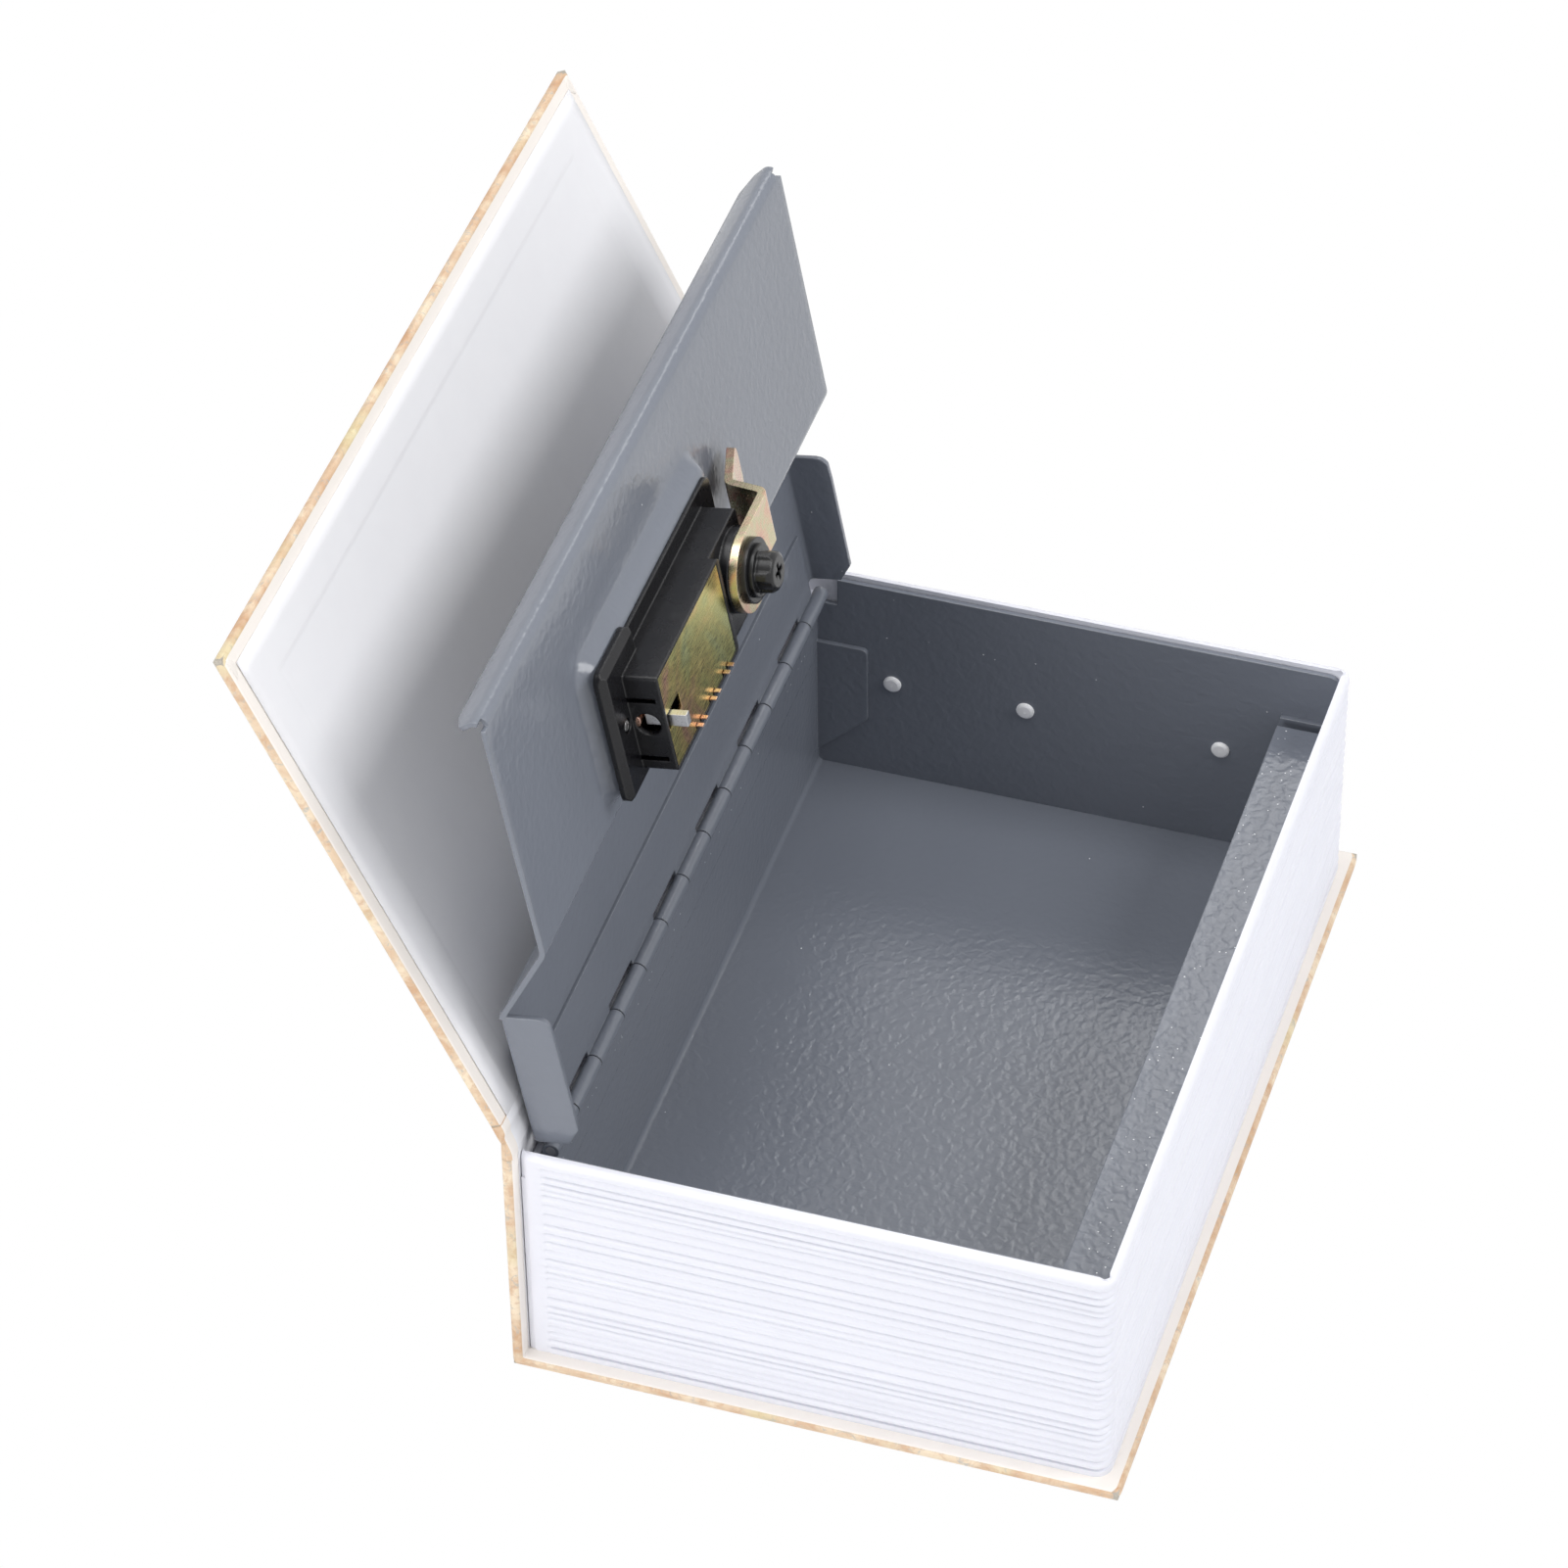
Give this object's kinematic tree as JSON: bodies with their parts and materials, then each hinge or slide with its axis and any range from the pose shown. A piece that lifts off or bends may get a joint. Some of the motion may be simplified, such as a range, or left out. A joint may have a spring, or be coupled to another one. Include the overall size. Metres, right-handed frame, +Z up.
{
  "type": "book diversion safe",
  "caption": "Steel cash box with a hinged lid and a combination lock, hidden in a hardback book case with ribbed page edges.",
  "frame": {"origin": "centre of the back cover's underside, on which the book lies", "axes": "+Z up, +Y from the tail to the head of the book, +X from the spine to the fore edge"},
  "size_m": [0.165, 0.18, 0.1618],
  "materials": {
    "board_grey": "plain grey board",
    "cover_print": "printed matt laminated paper",
    "endpaper": "smooth white paper",
    "page_plastic": "moulded satin white plastic",
    "box_coat": "hammered grey powder coat",
    "pin_steel": "plain steel",
    "lock_plastic": "moulded black plastic",
    "wheel_plastic": "black plastic",
    "knob_plastic": "black plastic",
    "hub_brass": "turned brass",
    "zinc_yellow": "yellow passivated zinc",
    "zinc_cam": "yellow passivated zinc, pinkish",
    "spring_copper": "copper coloured spring strip",
    "lever_zinc": "bright zinc"
  },
  "bodies": {
    "case": {"back_board": "board_grey", "spine_board": "board_grey", "case_wrap": "cover_print", "gutter_liner": "endpaper", "page_block": "page_plastic", "page_rivets": "page_plastic", "box_tray": "box_coat", "tail_wall": "box_coat", "head_wall": "box_coat", "hinge_leaf_box": "box_coat", "hinge_pin": "pin_steel"},
    "lid": {"lid_panel": "box_coat", "hinge_leaf_lid": "box_coat", "lock_bezel": "lock_plastic", "lock_housing": "lock_plastic", "housing_screws": "pin_steel", "wheel_axle": "pin_steel", "detent_springs": "spring_copper", "lock_plate": "zinc_yellow"},
    "strip": {"joint_strip": "cover_print"},
    "cover": {"front_board": "board_grey", "front_wrap": "cover_print", "front_endpaper": "endpaper"},
    "latch": {"lock_shaft": "lever_zinc", "thumb_knob": "knob_plastic", "latch_cam": "zinc_cam", "cam_washer": "knob_plastic", "cam_screw": "knob_plastic"},
    "wheel_1": {"number_wheel_1": "wheel_plastic", "wheel_hub_1": "hub_brass"},
    "wheel_2": {"number_wheel_2": "wheel_plastic", "wheel_hub_2": "hub_brass"},
    "wheel_3": {"number_wheel_3": "wheel_plastic", "wheel_hub_3": "hub_brass"},
    "reset": {"reset_lever": "lever_zinc"},
    "bar": {"blocking_bar": "pin_steel"}
  },
  "joints": [
    {"name": "lid_hinge", "type": "hinge", "parent": "case", "child": "lid", "pos_m": [-0.0519, 0, 0.0503], "axis": [0, -1, 0], "range_deg": [-100, 0]},
    {"name": "cover_hinge", "type": "hinge", "parent": "case", "child": "strip", "pos_m": [-0.05748, 0, 0.05575], "axis": [0, -1, 0], "range_deg": [-115, 0]},
    {"name": "cover_fold", "type": "hinge", "parent": "strip", "child": "cover", "pos_m": [-0.05938, 0, 0.05983], "axis": [0, -1, 0], "range_deg": [0, 65]},
    {"name": "latch_turn", "type": "hinge", "parent": "lid", "child": "latch", "pos_m": [-0.05388, 0.0037, 0.11971], "axis": [0.9848, 0, 0.1736], "range_deg": [0, 90]},
    {"name": "bar_slide", "type": "slide", "parent": "lid", "child": "bar", "axis": [-0.1736, 0, 0.9848], "range_m": [0, 0.0007]},
    {"name": "reset_slide", "type": "slide", "parent": "lid", "child": "reset", "axis": [0, 1, 0], "range_m": [0, 0.004]},
    {"name": "wheel_1_spin", "type": "hinge", "parent": "lid", "child": "wheel_1", "pos_m": [-0.04842, -0.0273, 0.11956], "axis": [0, 1, 0], "continuous": true},
    {"name": "wheel_2_spin", "type": "hinge", "parent": "lid", "child": "wheel_2", "pos_m": [-0.04842, -0.0197, 0.11956], "axis": [0, 1, 0], "continuous": true},
    {"name": "wheel_3_spin", "type": "hinge", "parent": "lid", "child": "wheel_3", "pos_m": [-0.04842, -0.0121, 0.11956], "axis": [0, 1, 0], "continuous": true}
  ],
  "couplings": [
    {"joint": "cover_hinge", "follows": "lid_hinge", "ratio": 1.15},
    {"joint": "bar_slide", "follows": "latch_turn", "m_per_rad": 0.000445}
  ]
}
